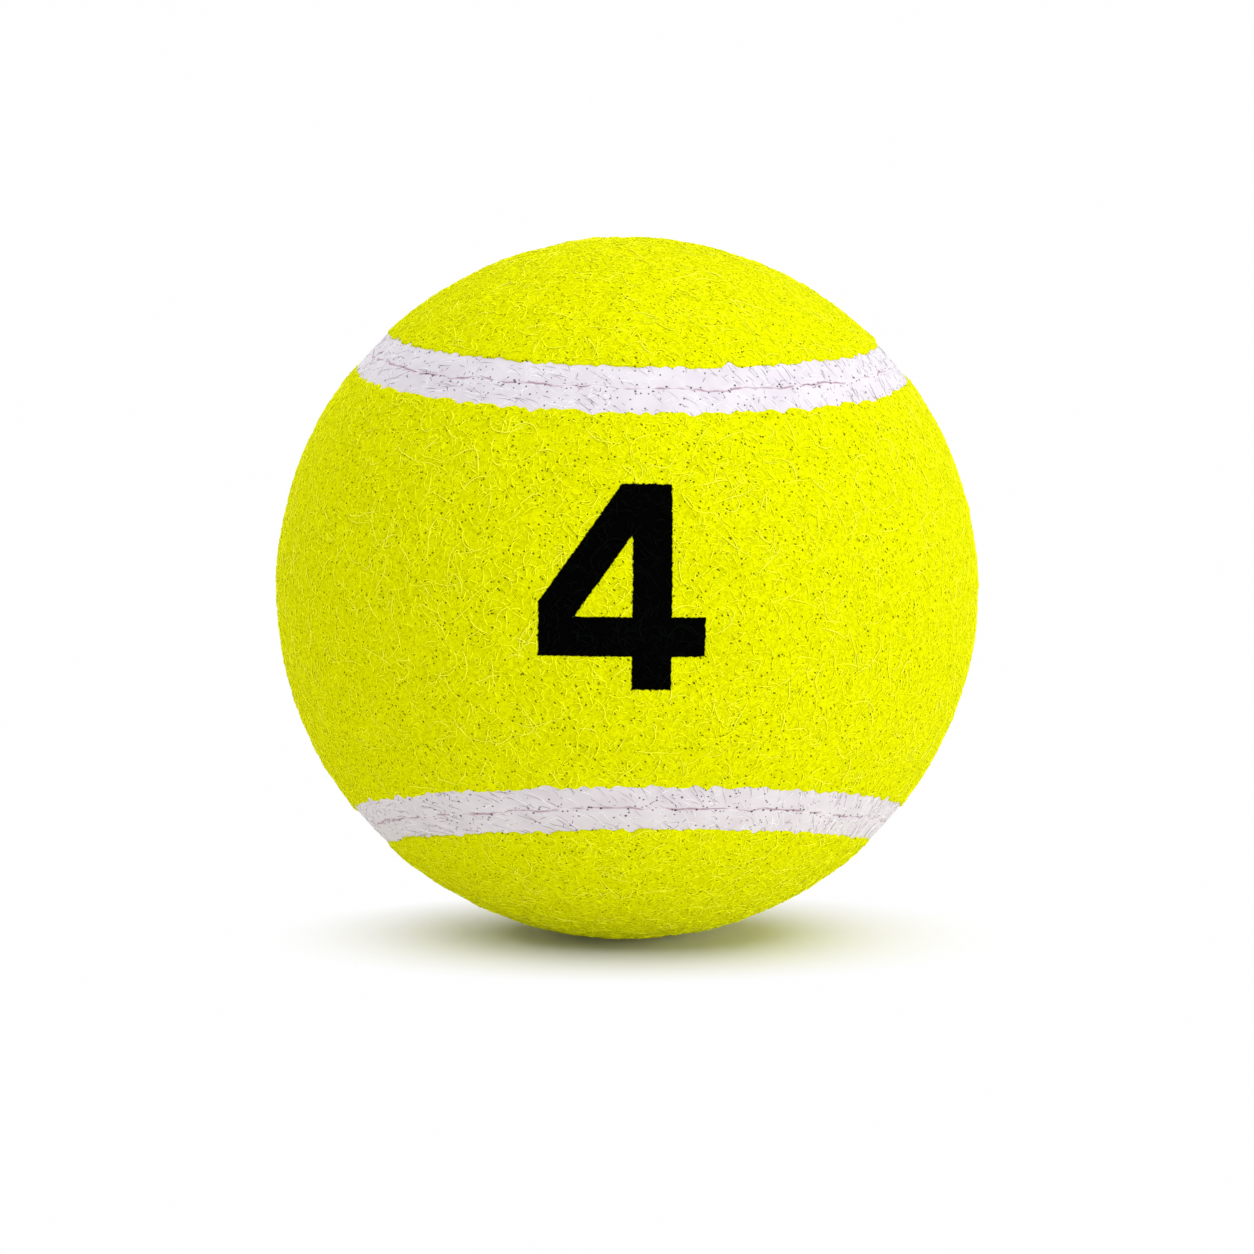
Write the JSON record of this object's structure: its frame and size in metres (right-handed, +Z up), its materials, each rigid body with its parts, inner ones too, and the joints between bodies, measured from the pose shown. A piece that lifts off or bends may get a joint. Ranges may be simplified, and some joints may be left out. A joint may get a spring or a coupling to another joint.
{
  "type": "tennis cricket ball",
  "caption": "Hollow rubber ball with a yellow-green needled felt cover in interlocking dog-bone panels, joined by a white rubber seam band.",
  "frame": {"origin": "centre of the ball", "axes": "+Y is the axis through the waists of both felt panels, from the front panel's waist at -Y to the back panel's at +Y; the front panel's long axis lies along X; +Z is up as the ball lies in the picture"},
  "size_m": [0.066, 0.066, 0.066],
  "materials": {
    "core_rubber": "moulded, matt, buffed outside",
    "core_cement": "cured cement, dull",
    "panel_adhesive": "thin amber film, satin",
    "base_cloth": "plain woven cloth, dyed with the felt",
    "felt": "needle-punched wool and nylon felt, matt, short matted fibres",
    "seam_rubber": "vulcanised white cement, satin, finely cracked"
  },
  "bodies": {
    "root": {"upper_core_shell": "core_rubber", "lower_core_shell": "core_rubber", "core_joint_cement": "core_cement", "front_panel_adhesive": "panel_adhesive", "back_panel_adhesive": "panel_adhesive", "front_base_cloth": "base_cloth", "back_base_cloth": "base_cloth", "front_felt_panel": "felt", "back_felt_panel": "felt", "front_seam_cement": "seam_rubber", "back_seam_cement": "seam_rubber"}
  },
  "joints": []
}
